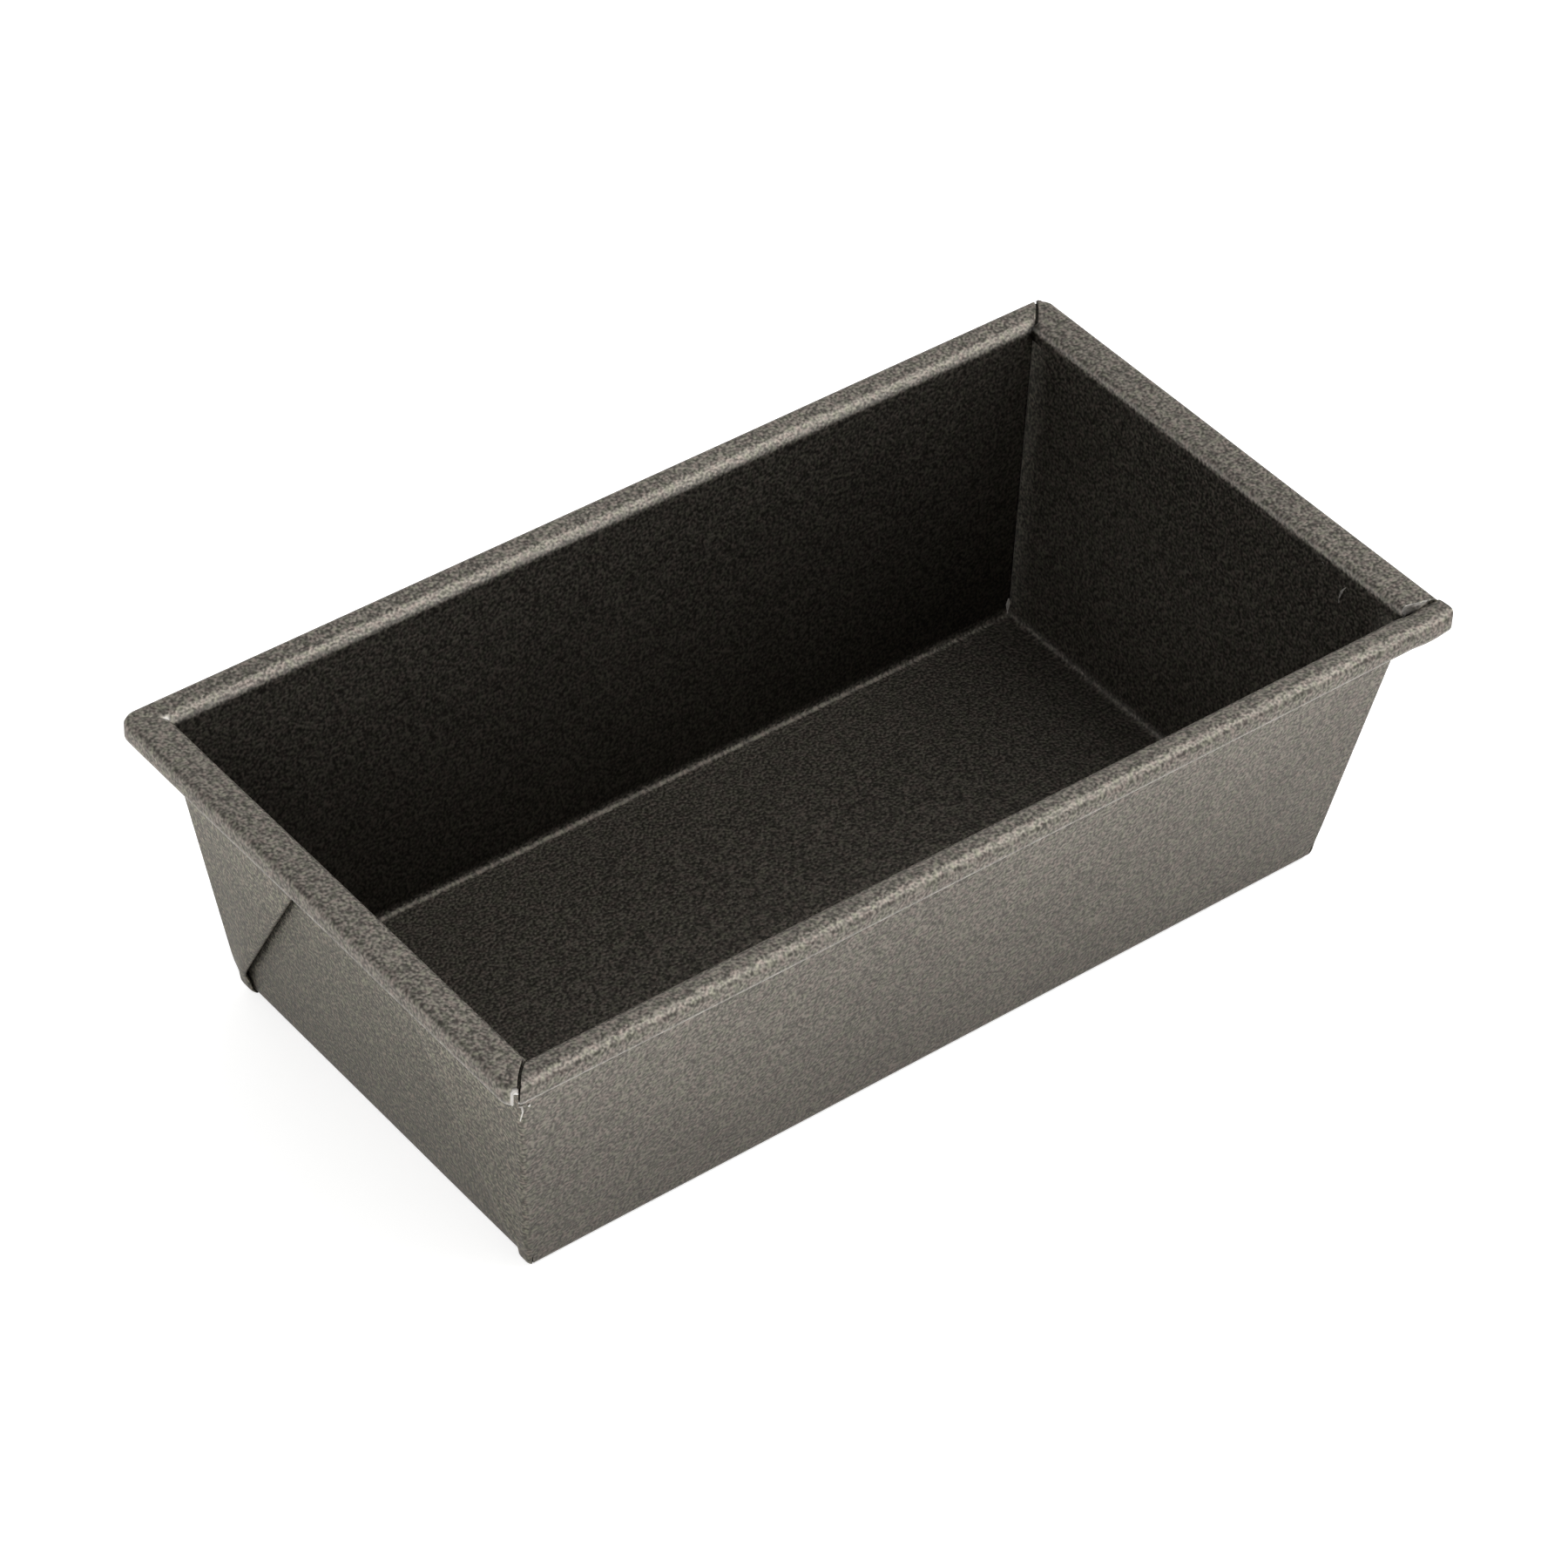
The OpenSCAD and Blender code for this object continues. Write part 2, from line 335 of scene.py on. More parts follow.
# --------------------------------------------------------------- materials
def coated_steel():
    """Dark non-stick coating on steel: metallic fleck, tinted grain, fine bumps, bare steel where worn.
    Vertex attributes also paint shade, a greenish cast of light and highlights into its colour.
    """
    m = bpy.data.materials.new("coated_sheet")
    m.use_nodes = True
    nt = m.node_tree
    nt.nodes.clear()
    new, link = nt.nodes.new, nt.links.new
    out = new("ShaderNodeOutputMaterial")
    bsdf = new("ShaderNodeBsdfPrincipled")
    link(bsdf.outputs["BSDF"], out.inputs["Surface"])
    at = new("ShaderNodeTexCoord").outputs["Object"]

    def noise_tex(scale, detail, rough=0.5):
        n = new("ShaderNodeTexNoise")
        n.inputs["Scale"].default_value = scale
        n.inputs["Detail"].default_value = detail
        n.inputs["Roughness"].default_value = rough
        link(at, n.inputs["Vector"])
        return n

    def ramp(source, stops):
        r = new("ShaderNodeValToRGB")
        while len(r.color_ramp.elements) < len(stops):
            r.color_ramp.elements.new(0.5)
        for e, (pos, col) in zip(r.color_ramp.elements, stops):
            e.position = pos
            e.color = (*col, 1)
        link(source, r.inputs["Fac"])
        return r.outputs["Color"]

    def mix(kind, fac, a, b):
        x = new("ShaderNodeMix")
        x.data_type = "RGBA"
        x.blend_type = kind
        for value, socket in ((fac, x.inputs[0]), (a, x.inputs[6]), (b, x.inputs[7])):
            if isinstance(value, (int, float)):
                socket.default_value = value
            elif isinstance(value, tuple):
                socket.default_value = (*value, 1)
            else:
                link(value, socket)
        return x.outputs[2]

    def attribute(name):
        n = new("ShaderNodeAttribute")
        n.attribute_name = name
        return n.outputs["Fac"]

    grain = noise_tex(1650, 0.5, 0.5)
    tint = noise_tex(700, 1.0)
    cloud = noise_tex(22, 3.0)
    base = ramp(cloud.outputs["Fac"], [(0.3, (0.125, 0.114, 0.099)), (0.7, (0.143, 0.132, 0.114))])
    tints = ramp(
        tint.outputs["Fac"],
        [(0.34, (0.96, 1.01, 0.94)), (0.5, (1.0, 1.0, 1.0)), (0.66, (1.05, 0.98, 1.0))],
    )
    fleck = ramp(
        grain.outputs["Fac"],
        [(0.30, (0.42, 0.42, 0.42)), (0.5, (1.0, 1.0, 1.0)), (0.70, (1.80, 1.78, 1.75))],
    )
    colour = mix("MULTIPLY", 1.0, base, tints)
    colour = mix("MULTIPLY", 0.9, colour, fleck)
    # painted light: a greenish olive tint, set by a per-vertex attribute, stands in for a greenish cast of
    # light on the ends and the corner leaves
    painted_olive_cast = mix("MULTIPLY", 1.0, colour, (0.98, 1.0, 0.94))
    painted_olive_cast = mix("MULTIPLY", 0.25, painted_olive_cast, fleck)
    colour = mix("MIX", attribute("painted_olive_cast"), colour, painted_olive_cast)
    # painted shade: the colour is darkened by a per-vertex attribute, standing in for shade inside the pan,
    # in gaps and near the floor
    painted_shade = mix("MULTIPLY", 1.0, colour, (0.12, 0.115, 0.10))
    colour = mix("MIX", attribute("painted_shade"), colour, painted_shade)
    patchy = ramp(noise_tex(160, 2.0).outputs["Fac"], [(0.38, (0.45,) * 3), (0.62, (1.0,) * 3)])
    bare = mix("MULTIPLY", 1.0, attribute("wear_and_highlight"), patchy)
    colour = mix("MIX", bare, colour, (0.60, 0.58, 0.55))
    link(colour, bsdf.inputs["Base Color"])
    bsdf.inputs["Metallic"].default_value = 0.85
    bsdf.inputs["Specular Tint"].default_value = (0.84, 0.82, 0.80, 1)
    rough = ramp(grain.outputs["Fac"], [(0.3, (0.40,) * 3), (0.7, (0.52,) * 3)])
    link(rough, bsdf.inputs["Roughness"])
    bump = new("ShaderNodeBump")
    bump.inputs["Strength"].default_value = 1.0
    bump.inputs["Distance"].default_value = 0.00013
    link(grain.outputs["Fac"], bump.inputs["Height"])
    link(bump.outputs["Normal"], bsdf.inputs["Normal"])
    return m


def drawn_wire():
    """Plain drawn steel wire, with fine noise in its tone and bumps."""
    m = bpy.data.materials.new("steel_wire")
    m.use_nodes = True
    nt = m.node_tree
    bsdf = nt.nodes["Principled BSDF"]
    at = nt.nodes.new("ShaderNodeTexCoord")
    n = nt.nodes.new("ShaderNodeTexNoise")
    n.inputs["Scale"].default_value = 900
    n.inputs["Detail"].default_value = 3
    nt.links.new(at.outputs["Object"], n.inputs["Vector"])
    r = nt.nodes.new("ShaderNodeValToRGB")
    r.color_ramp.elements[0].color = (0.42, 0.41, 0.39, 1)
    r.color_ramp.elements[1].color = (0.66, 0.65, 0.62, 1)
    nt.links.new(n.outputs["Fac"], r.inputs["Fac"])
    nt.links.new(r.outputs["Color"], bsdf.inputs["Base Color"])
    bsdf.inputs["Metallic"].default_value = 1.0
    bump = nt.nodes.new("ShaderNodeBump")
    bump.inputs["Strength"].default_value = 0.2
    bump.inputs["Distance"].default_value = 0.00003
    nt.links.new(n.outputs["Fac"], bump.inputs["Height"])
    nt.links.new(bump.outputs["Normal"], bsdf.inputs["Normal"])
    bsdf.inputs["Roughness"].default_value = 0.38
    return m


COATING = coated_steel()
STEEL = drawn_wire()


# Painted shade: how much darker the coating is painted than on the rim, by height in mm, inside the long
# sides, inside the ends and on the outside faces.
BASE_PAINTED_SHADE = 0.752


def long_painted_shade(z):
    return np.interp(z, [0, 8, 30, 55, 64], [0.96, 0.936, 0.807, 0.709, 0.68])


def end_painted_shade(z):
    return np.interp(z, [0, 8, 30, 55, 64], [0.474, 0.45, 0.42, 0.60, 0.60])


def outer_painted_shade(z):
    return np.interp(z, [0, 10, 32, 52, 60], [0.52, 0.46, 0.32, 0.06, 0.0])


# -------------------------------------------------------------- base panel
def ring_axis(flat, offsets):
    """Signed positions and ring numbers across the base, from one edge to the other."""
    middle = np.linspace(-flat, flat, max(3, round(2 * flat / 4.0)))
    pos = np.concatenate([-(flat + offsets[::-1]), middle, flat + offsets])
    k = len(offsets)
    ring = np.concatenate([np.arange(k, 0, -1), np.zeros(len(middle), int), np.arange(1, k + 1)])
    return pos, ring


def make_base():
    grids = []
    for face in (0, 1):
        ex, ez = base_rows(END)[face].T
        ly = base_rows(LONG)[face][:, 0]
        xs, xr = ring_axis(ex[0], ex[1:] - ex[0])
        ys, yr = ring_axis(ly[0], ly[1:] - ly[0])
        x, y = np.meshgrid(xs, ys)
        z = ez[np.maximum.outer(yr, xr)]
        grids.append(np.stack([x, y, z], 2))
    a, b = (shape(g) for g in grids)
    verts, faces = shell(a, b)
    n = len(verts) // 2
    x, y, z = verts.T
    end_side = np.abs(x) - END.half_base > np.abs(y) - LONG.half_base
    # painted shade: the base is darkened, less towards +x and the front, and less along the base's bend
    # where it stands in for the bend's highlight; the underside gets the outside shade
    edge = np.where(end_side, end_painted_shade(z), long_painted_shade(z))
    edge -= 0.3 * smooth(z, SHEET, SHEET + 0.5) * (1 - smooth(z, 1.7, 2.8))
    flat = BASE_PAINTED_SHADE - 0.13 * smooth(x, 55, 90) - 0.05 * smooth(-y, -10, 30)
    painted_shade = flat + (edge - flat) * smooth(z, SHEET + 0.25, SHEET + 0.9)
    painted_shade[n:] = outer_painted_shade(z[n:])
    # painted highlight: a light bare-steel tone along the base's bends at the ends stands in for the bends'
    # highlight
    wear_and_highlight = 0.12 * end_side * smooth(z, SHEET + 0.2, SHEET + 0.6) * (1 - smooth(z, 1.8, 2.6))
    wear_and_highlight[n:] = 0
    add_piece("pan_base", "base_panel", verts, faces, COATING, {"painted_shade": painted_shade, "wear_and_highlight": wear_and_highlight})


# ------------------------------------------------------------------- walls
BEND_OUT = 1.25
STACK = 3 * SHEET + 0.1
SEAM_E = STACK - BEND_OUT


def make_long_wall(name, node, sy):
    cavity, back = wall_rows(LONG, 22)
    grids = []
    for uz in (cavity, back):
        limit = END.half_base + (uz[:, 1] - SHEET) * TAN + SEAM_E / COS
        along = columns(88, limit, limit)
        g = lay(LONG, along, uz)
        g[..., 1] *= sy
        grids.append(shape(g))
    verts, faces = shell(*grids)
    n = len(verts) // 2
    # painted shade: the inside is darkened by height, a little less towards -x, and the outside darker
    # towards the floor
    inside = long_painted_shade(verts[:n, 2]) - 0.07 * smooth(-verts[:n, 0], -60, 60)
    add_piece(name, node, verts, faces, COATING,
              {"painted_shade": np.r_[inside, outer_painted_shade(verts[n:, 2])], "wear_and_highlight": np.zeros(2 * n)})


def by_rim(sx, sy, *offsets):
    """Points from (mm out of the opening's corner along x, along y, mm below the rim)."""
    corner_x, corner_y = sx * END.half_open, sy * LONG.half_open
    return tuple((corner_x + sx * x, corner_y + sy * y, RIM_Z - down) for x, y, down in offsets)


def by_base(sx, sy, *offsets):
    """Points from (mm out of the base's inner corner along x, along y, mm above the base)."""
    corner_x, corner_y = sx * END.half_base, sy * LONG.half_base
    return tuple((corner_x + sx * x, corner_y + sy * y, SHEET + up) for x, y, up in offsets)


IN_FROM_RIGHT = (-1, 0, 0.15)
OUT_FROM_FRONT = (0, -1, -0.15)
SCUFFS = {
    # sx: slivers of bare steel inside that end, as (points, direction they stand off in, width)
    1: (
        (
            by_rim(1, -1, (-1.3, -16.3, 8.2), (-1.1, -16.5, 7.3), (-0.9, -16.3, 5.7), (-0.6, -15.4, 4.0)),
            IN_FROM_RIGHT, 1.3,
        ),
        (by_rim(1, -1, (-0.4, -22.8, 2.6), (-0.4, -21.6, 2.9)), IN_FROM_RIGHT, 1.2),
    ),
}


def make_end_wall(name, node, sx):
    cavity, back = wall_rows(END, 22)
    grids = []
    for uz in (cavity, back):
        limit = LONG.half_base + (uz[:, 1] - SHEET) * TAN - SHEET
        along = columns(36, limit, limit)
        g = lay(END, along, uz)
        g[..., 0] *= sx
        grids.append(shape(g))
    verts, faces = shell(*grids)
    n = len(verts) // 2
    from_corner = LONG.half_base + verts[:, 2] * TAN - np.abs(verts[:, 1])
    inward = smooth(from_corner, 0.5, 7)
    # painted shade: the inside is darkened by height, much less near the corners, and the outside darker
    # towards the floor
    painted_shade = end_painted_shade(verts[:, 2]) * (0.1 + 0.9 * inward)
    painted_shade[n:] = 0.04 + outer_painted_shade(verts[n:, 2])
    # painted light: an olive tint on the outside and near the inner corners, for a greenish cast of light
    painted_olive_cast = 1 - 0.7 * inward
    painted_olive_cast[n:] = 1
    # bare-steel wear along the inner corners, which also stands in for a painted highlight on the corner's
    # fold
    wear_and_highlight = 0.14 * (1 - inward)
    wear_and_highlight[n:] = 0
    for path, out, width in SCUFFS.get(sx, ()):
        verts, faces, (painted_shade, painted_olive_cast, wear_and_highlight) = add_sliver(verts, faces, (painted_shade, painted_olive_cast, wear_and_highlight), path, out, width)
    add_piece(name, node, verts, faces, COATING, {"painted_shade": painted_shade, "wear_and_highlight": wear_and_highlight, "painted_olive_cast": painted_olive_cast})


# ------------------------------------------------------------ corner folds
FOLDS = {
    # (sx, sy): start and run of the free edge across the end, and how far it stands off at mid-height
    (-1, 1): (47.3, 0.610, 1.00),
    (-1, -1): (46.2, 0.545, 0.45),
    (1, -1): (46.4, 0.541, 0.40),
    (1, 1): (46.4, 0.548, 0.55),
}
BURRS = {
    # (sx, sy): slivers of bare steel as (points, direction they stand off in, width)
    (-1, -1): (
        (
            by_rim(-1, -1, (0.0, -0.45, 8.6), (-0.8, -0.4, 9.2), (-1.3, -0.6, 10.6), (-1.5, -0.9, 12.2)),
            OUT_FROM_FRONT, 0.45,
        ),
        (
            by_rim(-1, -1, (0.7, -1.1, 13.0), (0.0, -1.1, 13.4), (-0.4, -1.3, 15.0), (-0.1, -1.7, 17.4)),
            OUT_FROM_FRONT, 0.42,
        ),
        (by_rim(-1, -1, (-1.5, -1.1, 13.7), (-1.8, -1.15, 14.2)), OUT_FROM_FRONT, 0.5),
    ),
    (1, 1): (
        # a bead of bare steel at the inner bottom corner, whose light colour also stands in for a painted
        # glint there
        (by_base(1, 1, (-0.45, -0.65, 0.8), (-0.4, -0.6, 2.3), (-0.2, -0.4, 3.9)), (-1, -1, 0.15), 0.9),
    ),
}
LEAF_GAP = 0.1
EAR_W = 2.9


def bend_inset(z):
    """How far the outside of the base bend lies inside the wall's own plane at height z."""
    r = BASE_BEND_R + SHEET
    if z >= r:
        return 0.0
    arc = -BASE_CUT + r * math.sin(math.acos(1 - z / r))
    return max(0.0, SHEET / COS + (z - SHEET) * TAN - arc)


def fold_section(w, off):
    """Path of the folded corner across the end, as (cavity, outer) rows of (e, v), for a leaf w wide.
    e is measured out from the end wall's inner face, v in from the long wall's inner face."""
    a, b = [], []
    vc = BEND_OUT - SHEET
    for k in range(11):
        f = math.pi / 2 * k / 10
        b.append((SEAM_E + BEND_OUT * math.sin(f), vc - BEND_OUT * math.cos(f)))
        a.append((SEAM_E + vc * math.sin(f), vc - vc * math.cos(f)))
    half = SHEET + LEAF_GAP / 2
    turn = half / math.cos(math.radians(29))
    ve = w - turn

    def stand(v):
        return off * float(smooth(v / w))

    for k in range(1, 15):
        v = vc + (ve - vc) * k / 14
        b.append((STACK + stand(v), v))
        a.append((STACK - SHEET + stand(v), v))
    centre = SHEET + half + stand(ve)
    for k in range(1, 13):
        f = math.pi * k / 12
        b.append((centre + half * math.cos(f), ve + turn * math.sin(f)))
        a.append((centre + LEAF_GAP / 2 * math.cos(f), ve + LEAF_GAP / 2 * math.sin(f)))
    for k in range(1, 15):
        v = ve + (SHEET - ve) * k / 14
        b.append((SHEET + 0.02 + stand(v), v))
        a.append((2 * SHEET + stand(v), v))
    for k in range(1, 13):
        f = math.pi * k / 12
        b.append((SHEET, SHEET))
        a.append((SHEET + SHEET * math.cos(f), SHEET - SHEET * math.sin(f)))
    return np.array(a), np.array(b)


def make_fold(name, node, sx, sy):
    start, run, off = FOLDS[(sx, sy)]
    levels = [-0.42, -0.3, -0.12, 0.1, 0.4, 0.8, 1.3, 1.9, 2.6, 3.4, 4.0, 4.6, 5.2, 6.0, 7.2]
    levels += list(np.linspace(9, 62.4, 25))
    ga, gb, wear_and_highlight = [], [], []
    for t in levels:
        corner = LONG.half_base + t * SIN
        leaf = corner - (start - run * t)
        w = (max(leaf, 0.0) ** 6 + EAR_W ** 6) ** (1 / 6)
        opened = off * (1.2 - 0.9 * t / 62) * float(smooth(t, 1.5, 6.0))
        rows = fold_section(w, opened)
        for rows_ev, grid in zip(rows, (ga, gb)):
            line = []
            for e, v in rows_ev:
                z = max(SHEET + t * COS - e * SIN, 0.12 + 0.05 * e)
                inset = bend_inset(z)
                if e > SEAM_E:
                    e = SEAM_E + (e - SEAM_E) * (0.35 + 0.65 * float(smooth(t, 0, 9)))
                if v < 0:
                    v /= COS
                ear = math.exp(-((z - 2.0) / 1.5) ** 2) * float(smooth(e, 0.8, 1.6))
                e2 = e - 0.8 * inset + 0.25 * ear
                v2 = v + inset * max(0.0, 1 - max(v, 0) / 2.5) - 0.35 * ear * max(0.0, 1 - max(v, 0) / 3)
                x = END.half_base + t * SIN + e2 * COS
                y = LONG.half_base + (z - SHEET) * TAN - v2
                line.append((sx * x, sy * y, z))
            grid.append(line)
    a, b = shape(np.array(ga)), shape(np.array(gb))
    verts, faces = shell(a, b)
    n = len(verts) // 2
    cols = a.shape[1]
    # painted shade: darker towards the floor; painted shadow in the crevice at the inner corner and in the
    # gap under the free edge, with the corner's U-turn kept light
    painted_shade = 0.9 * outer_painted_shade(verts[:, 2])
    wear_and_highlight = np.zeros(2 * n)
    for row in range(len(levels)):
        last = (row + 1) * cols
        painted_shade[last - 13:last - 6] = 1.0
        painted_shade[last - 6:last] = 0.1
        # painted highlight: a light bare-steel tone on the U-turn at the inner corner; along the free edge
        # slight wear, which at the front left also stands in for the edge's highlight
        wear_and_highlight[last - 4:last - 1] = 0.35
        edge = n + row * cols + 25
        wear_and_highlight[edge:edge + 6] = 0.15 if (sx, sy) == (-1, -1) else 0.04
        painted_shade[edge + 7:edge + 26] = float(smooth(levels[row], 4, 7))
    # painted light: an olive tint on the leaves, for a greenish cast of light
    painted_olive_cast = np.ones(2 * n)
    painted_olive_cast[n:] = np.tile(np.minimum(1, np.arange(cols) / 12), len(levels))
    for path, out, width in BURRS.get((sx, sy), ()):
        verts, faces, (painted_shade, painted_olive_cast, wear_and_highlight) = add_sliver(verts, faces, (painted_shade, painted_olive_cast, wear_and_highlight), path, out, width)
    add_piece(name, node, verts, faces, COATING, {"painted_shade": painted_shade, "wear_and_highlight": wear_and_highlight, "painted_olive_cast": painted_olive_cast})


# -------------------------------------------------------------------- rims
CUTS = {
    # (sx, sy): line where two rims meet, as mm out of the opening's corner along x and y; its width, which
    # also sets the painted shade in the slit
    (-1, -1): (((0, 0), (1.3, 0.9), (3.9, 3.3), (6.4, 6.5)), 0.70),
    (1, -1): (((0, 0), (3.0, 0.05), (6.2, 0.5), (8.2, 1.0)), 0.0),
    (1, 1): (((0, 0), (1.5, 0.4), (5.0, 4.5), (6.1, 6.5)), 0.75),
    (-1, 1): (((0, 0), (8.2, 6.5)), 0.12),
}
CUT_DEPTH = 0.5
# Mm out of the opening's corner along x and y: a hole at the front right, with painted shade in it, and a
# light spot of bare-steel colour at the back left.
HOLE = (1.2, 0.9)
LIGHT_SPOT = (0.7, 0.8)
TUCK = 3.0
# The right rim's arched front end: mm out along x, mm out along y.
ARCH = ((0, 0), (0.7, -0.45), (2.0, -0.6), (3.4, 0.1), (5.0, 0.6), (8.2, 1.3))


def reach(side, u, corner):
    """How far along its side a rim row at distance u reaches, up to the line where it meets the next rim."""
    out = np.asarray(u, float) - side.half_open
    x, y = np.array(ARCH if corner == (1, -1) and side is END else CUTS[corner][0]).T
    if side is LONG:
        # At the front right the front rim's inner rows run on under the right rim's arched end.
        tuck = TUCK * smooth(out, -1.4, -0.4) if corner == (1, -1) else out
        return END.half_open + np.where(out > 0, np.interp(out, y, x), np.maximum(out, tuck))
    return LONG.half_open + np.where(out > 0, np.interp(out, x, y), out)


def lap(grid):
    """Lets the front rim's right end pass a little below the right rim's."""
    out = grid[..., 0] - END.half_open
    grid[..., 2] -= 0.4 * smooth(out, -2.5, 0.5) * (1 - smooth(out, 2.5, 6.5))


def make_rim(name, node, side, sign, profile):
    cavity, back, edge = rim_rows(side, *profile)
    ends = [(-1, sign), (1, sign)] if side is LONG else [(sign, -1), (sign, 1)]
    grids = []
    for uz in (cavity, back):
        low, high = (reach(side, uz[:, 0], corner) for corner in ends)
        along = columns(90 if side is LONG else 42, low, high)
        g = lay(side, along, uz)
        g[..., 1 if side is LONG else 0] *= sign
        grids.append(g)
    rows, cols = grids[0].shape[:2]
    wear_and_highlight = np.repeat(edge[:, None], cols, 1)
    # painted shade down the inner bend into the pan
    fade = smooth(-cavity[:, 1], -RIM_Z + 0.9, -RIM_Z + 2.0) * (cavity[:, 0] < side.half_open + 2)
    level = long_painted_shade(RIM_Z) if side is LONG else end_painted_shade(RIM_Z)
    painted_shade = np.repeat((fade * level)[:, None], cols, 1)
    out = cavity[:, 0] - side.half_open
    for corner, order in zip(ends, (slice(None), slice(None, None, -1))):
        width = CUTS[corner][1]
        near = 1 - smooth(NEAR, 0.35 * width, 0.35 * width + 0.25)
        deep = smooth(out, 0.2, 1.0)[:, None] * near[None, :] * min(1, width / 0.5)
        if corner == (-1, -1) and side is END:
            deep *= (1 - smooth(out, 5.9, 6.5))[:, None]
        top, under = grids[0][:, order][:, :len(NEAR)], grids[1][:, order][:, :len(NEAR)]
        top += (under - top) * deep[..., None] * CUT_DEPTH / SHEET
        # painted shade in the slit between the rims
        view = painted_shade[:, order][:, :len(NEAR)]
        view[:] = np.maximum(view, deep)
        if corner == (1, 1):
            # painted shade in the inner corner below the slit
            near_corner = (1 - smooth(NEAR, 0.6, 2.6))[None, :] * (1 - smooth(out, 0.4, 1.6))[:, None]
            view[:] = np.maximum(view, near_corner)
        if corner == (1, -1) and side is LONG:
            for grid in (top, under):
                lap(grid)
            hole_x, hole_y = END.half_open + HOLE[0], -(LONG.half_open + HOLE[1])
            hole = np.exp(-((top[..., 0] - hole_x) / 0.7) ** 2 - ((top[..., 1] - hole_y) / 1.3) ** 2)
            top[..., 2] -= 0.4 * hole
            # painted shade in the hole
            view[:] = np.maximum(view, smooth(hole, 0.3, 0.6))
        if corner == (1, -1) and side is END:
            drop = 2.4 * (1 - smooth(NEAR, 0, 0.5))[None, :] * (1 - smooth(out, 3.6, 4.9))[:, None]
            drop *= (out > 0)[:, None]
            top[..., 2] -= drop
            under[..., 2] -= drop
            wear_and_highlight[:, order][:, 2:5] = np.where(out > 0.2, 0.9 - 0.1 * np.clip(out, 0, 8), 0)[:, None]
            # painted shade near the corner, by the right rim's arched end
            view[:, :2] = np.maximum(view[:, :2], (1 - smooth(out, 2.6, 4.0))[:, None])
        if corner == (-1, 1):
            # a light spot of bare-steel colour where the back rim meets the left rim
            spot_x, spot_y = -(END.half_open + LIGHT_SPOT[0]), LONG.half_open + LIGHT_SPOT[1]
            dot = np.exp(-((top[..., 0] - spot_x) / 0.5) ** 2 - ((top[..., 1] - spot_y) / 0.5) ** 2)
            worn = wear_and_highlight[:, order][:, :len(NEAR)]
            worn[:] = np.maximum(worn, 0.9 * dot)
        if corner == (-1, -1) and side is END:
            tip = 0.7 * smooth(out, 6.0, 6.8)[:, None] * (1 - smooth(NEAR, 0.15, 0.5))[None, :]
            worn = wear_and_highlight[:, order][:, :len(NEAR)]
            worn[:] = np.maximum(worn, tip)
    a, b = (shape(trim_corners(g)) for g in grids)
    verts, faces = shell(a, b)
    n = len(verts) // 2
    wear_and_highlight = np.r_[wear_and_highlight.ravel(), wear_and_highlight.ravel()]
    # painted shade on the rim's underside
    painted_shade = np.r_[painted_shade.ravel(), np.full(n, 0.3)]
    add_piece(name, node, verts, faces, COATING, {"painted_shade": painted_shade, "wear_and_highlight": wear_and_highlight})


# -------------------------------------------------------------------- wire
def make_wire():
    low, high = box_mm("rim_wire")
    path_l, path_w = high[0] - WIRE_R, high[1] - WIRE_R
    z = (low[2] + high[2]) / 2
    r = 3.0
    path = []
    for cx, cy, start in ((1, 1, 0), (-1, 1, 90), (-1, -1, 180), (1, -1, 270)):
        for k in range(9):
            f = math.radians(start + 90 * k / 8)
            path.append((cx * (path_l - r) + r * math.cos(f), cy * (path_w - r) + r * math.sin(f)))
    dense = []
    for k, p in enumerate(path):
        q = path[(k + 1) % len(path)]
        steps = max(1, int(math.dist(p, q) / 6))
        dense += [(p[0] + (q[0] - p[0]) * s / steps, p[1] + (q[1] - p[1]) * s / steps) for s in range(steps)]
    n, sides = len(dense), 14
    verts, faces = [], []
    for k in range(n):
        before, after = dense[k - 1], dense[(k + 1) % n]
        d = Vector((after[0] - before[0], after[1] - before[1])).normalized()
        for s in range(sides):
            f = 2 * math.pi * s / sides
            out = WIRE_R * math.cos(f)
            verts.append((dense[k][0] + d.y * out, dense[k][1] - d.x * out, z + WIRE_R * math.sin(f)))
    for k in range(n):
        for s in range(sides):
            i, j = k * sides + s, k * sides + (s + 1) % sides
            m = (k + 1) % n * sides
            faces.append((i, j, m + (s + 1) % sides, m + s))
    verts = shape(np.array(verts))
    add_piece("pan_rim_wire", "rim_wire", verts, faces, STEEL, {})


make_base()
make_long_wall("pan_front_wall", "front_wall", -1)
make_long_wall("pan_back_wall", "back_wall", 1)
make_end_wall("pan_left_end_wall", "left_end_wall", -1)
make_end_wall("pan_right_end_wall", "right_end_wall", 1)
make_fold("pan_front_left_fold", "front_left_fold", -1, -1)
make_fold("pan_front_right_fold", "front_right_fold", 1, -1)
make_fold("pan_back_left_fold", "back_left_fold", -1, 1)
make_fold("pan_back_right_fold", "back_right_fold", 1, 1)
make_rim("pan_front_rim", "front_rim", LONG, -1, (3.6, 26, 1.6))
make_rim("pan_back_rim", "back_rim", LONG, 1, (4.0, 4, 1.5))
make_rim("pan_left_rim", "left_rim", END, -1, (8.0, 5, 1.2))
make_rim("pan_right_rim", "right_rim", END, 1, (8.0, 5, 1.3))
make_wire()


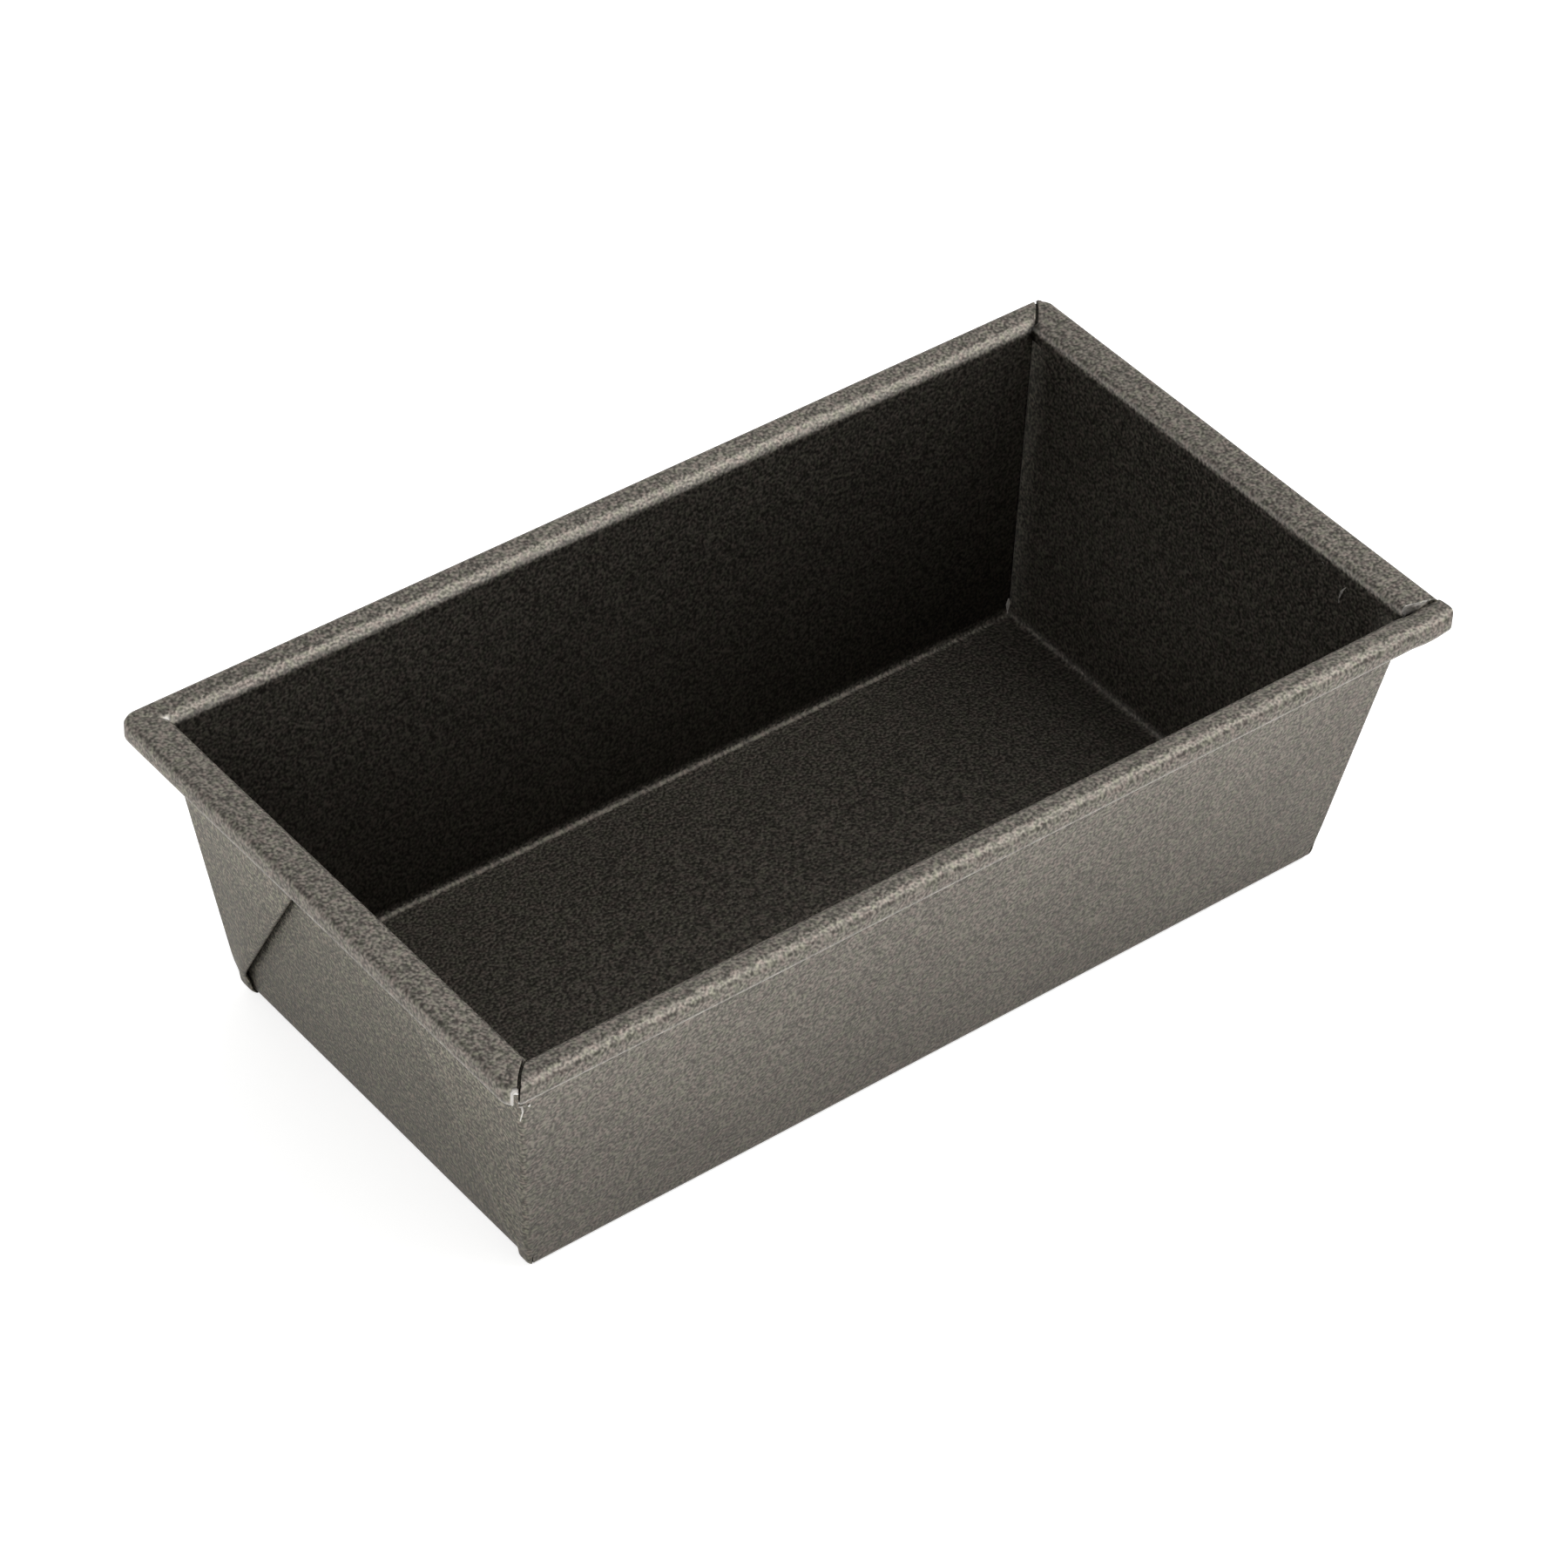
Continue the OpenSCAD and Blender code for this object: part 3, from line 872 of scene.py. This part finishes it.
# ------------------------------------------------------------------- stage
def make_floor():
    mesh = bpy.data.meshes.new("floor")
    s = 6.0
    mesh.from_pydata([(-s, -s, 0), (s, -s, 0), (s, s, 0), (-s, s, 0)], [], [(0, 1, 2, 3)])
    m = bpy.data.materials.new("pale_floor")
    m.use_nodes = True
    nt = m.node_tree
    bsdf = nt.nodes["Principled BSDF"]
    bsdf.inputs["Roughness"].default_value = 0.8
    bsdf.inputs["Base Color"].default_value = (0.84, 0.84, 0.84, 1)
    bsdf.inputs["Emission Color"].default_value = (1, 1, 1, 1)
    bsdf.inputs["Emission Strength"].default_value = 0.5
    mesh.materials.append(m)
    floor = bpy.data.objects.new("floor", mesh)
    bpy.context.scene.collection.objects.link(floor)


def area_light(name, direction, distance, size, watts, colour=(1, 1, 1)):
    d = Vector(direction).normalized()
    data = bpy.data.lights.new(name, "AREA")
    data.shape = "DISK"
    data.size = size
    data.energy = watts
    data.color = colour
    light = bpy.data.objects.new(name, data)
    light.location = d * distance
    light.rotation_euler = d.to_track_quat("Z", "Y").to_euler()
    bpy.context.scene.collection.objects.link(light)


def make_stage():
    make_floor()
    world = bpy.data.worlds.new("studio")
    bpy.context.scene.world = world
    world.use_nodes = True
    nt = world.node_tree
    background = nt.nodes["Background"]
    background.inputs["Strength"].default_value = 1.2
    split = nt.nodes.new("ShaderNodeSeparateXYZ")
    nt.links.new(nt.nodes.new("ShaderNodeTexCoord").outputs["Generated"], split.inputs["Vector"])
    ramp = nt.nodes.new("ShaderNodeValToRGB")
    stops = ((0.0, 0.95), (0.35, 0.95), (0.56, 0.74), (0.70, 0.44), (0.80, 0.31), (0.88, 0.22), (1.0, 0.20))
    while len(ramp.color_ramp.elements) < len(stops):
        ramp.color_ramp.elements.new(0.5)
    for e, (pos, v) in zip(ramp.color_ramp.elements, stops):
        e.position, e.color = pos, (v, v, v, 1)
    nt.links.new(split.outputs["Z"], ramp.inputs["Fac"])
    nt.links.new(ramp.outputs["Color"], background.inputs["Color"])
    area_light("key", (0.48, -0.22, 0.85), 1.6, 1.5, 22)
    area_light("fill", (-0.65, -0.45, 0.60), 1.6, 1.2, 8)
    bpy.context.scene.view_settings.view_transform = "Standard"


def make_camera():
    az, el, roll = math.radians(-40.117), math.radians(41.457), math.radians(2.917)
    aim = Vector((0.0020, 0.0010, 0.0330))
    distance = 1.1674
    back = Vector((math.sin(az) * math.cos(el), -math.cos(az) * math.cos(el), math.sin(el)))
    right = Vector((math.cos(az), math.sin(az), 0))
    up = back.cross(right)
    right, up = right * math.cos(roll) + up * math.sin(roll), up * math.cos(roll) - right * math.sin(roll)
    data = bpy.data.cameras.new("camera")
    data.lens = 138.33
    data.sensor_width = 36
    data.shift_x, data.shift_y = -0.0078, 0.0011
    data.clip_start, data.clip_end = 0.01, 50
    camera = bpy.data.objects.new("camera", data)
    camera.matrix_world = Matrix((
        (right.x, up.x, back.x, aim.x + back.x * distance),
        (right.y, up.y, back.y, aim.y + back.y * distance),
        (right.z, up.z, back.z, aim.z + back.z * distance),
        (0, 0, 0, 1),
    ))
    bpy.context.scene.collection.objects.link(camera)
    bpy.context.scene.camera = camera


make_stage()
make_camera()
